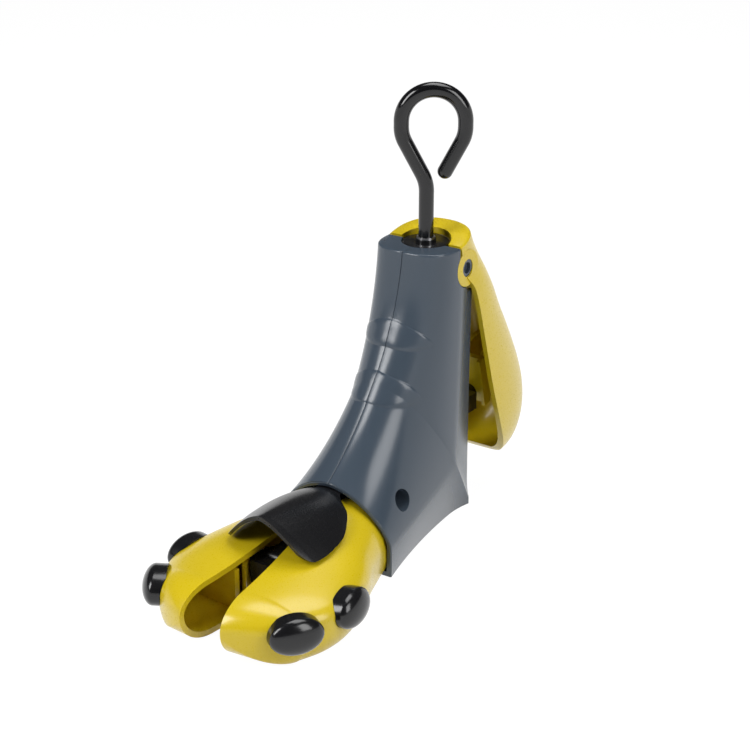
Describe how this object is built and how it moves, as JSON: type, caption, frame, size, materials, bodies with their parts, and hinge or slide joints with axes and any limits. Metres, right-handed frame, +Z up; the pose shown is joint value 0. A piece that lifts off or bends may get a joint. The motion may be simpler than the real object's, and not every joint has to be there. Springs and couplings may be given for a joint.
{
  "type": "shoe stretcher",
  "caption": "Adjustable shoe stretcher whose hook handle turns a screw that spreads the hinged toe halves and pushes out the heel plate.",
  "frame": {"origin": "On the sole, on the parting plane of the two body shells, under the axis of the screw", "axes": "+Z up along the screw, -Y towards the toe, +Y towards the heel, +X towards the wearer's left"},
  "size_m": [0.1144, 0.2786, 0.2389],
  "materials": {
    "body": "gloss",
    "yellow": "gloss",
    "black": "gloss",
    "satin_black": "satin",
    "black_rod": "gloss",
    "steel": "satin",
    "brass": "satin"
  },
  "bodies": {
    "body": {"body_shell_left": "body", "body_shell_right": "body", "shell_screws": "steel", "top_bush": "black", "toe_pin_left": "steel", "toe_pin_right": "steel", "saddle": "satin_black", "saddle_screws": "steel", "guide_post": "black"},
    "handle": {"handle_rod": "black_rod", "retaining_ring": "steel", "tail_clip": "steel", "thrust_washer": "steel"},
    "carriage": {"cam_carriage": "black", "drive_nut": "brass"},
    "pusher": {"heel_pusher": "black", "heel_cam_pin": "steel"},
    "heel": {"heel_plate": "yellow"},
    "front": {"front_bar": "black", "front_cam_pin": "steel", "spreader": "black", "spreader_pin": "steel"},
    "toe_left": {"toe_half_left": "yellow"},
    "toe_right": {"toe_half_right": "yellow"},
    "plug_fl": {"plug_front_left": "black"},
    "plug_rl": {"plug_rear_left": "black"},
    "plug_fr": {"plug_front_right": "black"},
    "plug_rr": {"plug_rear_right": "black"}
  },
  "joints": [
    {"name": "handle_turn", "type": "hinge", "parent": "body", "child": "handle", "pos_m": [0, 0, 0.155], "axis": [0, 0, 1], "range_deg": [-4280.4, 611.5]},
    {"name": "carriage_slide", "type": "slide", "parent": "body", "child": "carriage", "axis": [0, 0, -1], "range_m": [-0.02383, 0.0034]},
    {"name": "pusher_slide", "type": "slide", "parent": "body", "child": "pusher", "axis": [0, 1, 0], "range_m": [-0.02383, 0.0034]},
    {"name": "bar_slide", "type": "slide", "parent": "body", "child": "front", "axis": [0, -0.9781, -0.2079], "range_m": [-0.01668, 0.00238]},
    {"name": "heel_hinge", "type": "hinge", "parent": "body", "child": "heel", "pos_m": [0, 0.006, 0.1424], "axis": [1, 0, 0], "range_deg": [-14.03, 2]},
    {"name": "toe_left_hinge", "type": "hinge", "parent": "body", "child": "toe_left", "pos_m": [0.012, -0.065, 0.006], "axis": [0, 0, 1], "range_deg": [-5.31, 0.76]},
    {"name": "toe_right_hinge", "type": "hinge", "parent": "body", "child": "toe_right", "pos_m": [-0.012, -0.065, 0.006], "axis": [0, 0, -1], "range_deg": [-5.31, 0.76]},
    {"name": "plug_fl_slide", "type": "slide", "parent": "toe_left", "child": "plug_fl", "axis": [0.8201, -0.5679, 0.0698], "range_m": [0, 0.006]},
    {"name": "plug_rl_slide", "type": "slide", "parent": "toe_left", "child": "plug_rl", "axis": [0.9881, 0.1266, 0.0872], "range_m": [0, 0.006]},
    {"name": "plug_fr_slide", "type": "slide", "parent": "toe_right", "child": "plug_fr", "axis": [-0.8201, -0.5679, 0.0698], "range_m": [0, 0.006]},
    {"name": "plug_rr_slide", "type": "slide", "parent": "toe_right", "child": "plug_rr", "axis": [-0.9881, 0.1266, 0.0872], "range_m": [0, 0.006]}
  ],
  "couplings": [
    {"joint": "carriage_slide", "follows": "handle_turn", "m_per_rad": 0.00031831},
    {"joint": "pusher_slide", "follows": "handle_turn", "m_per_rad": 0.00031831},
    {"joint": "bar_slide", "follows": "handle_turn", "m_per_rad": 0.00022282},
    {"joint": "heel_hinge", "follows": "handle_turn", "ratio": 0.0032707},
    {"joint": "toe_left_hinge", "follows": "handle_turn", "ratio": 0.0012382},
    {"joint": "toe_right_hinge", "follows": "handle_turn", "ratio": 0.0012382}
  ]
}
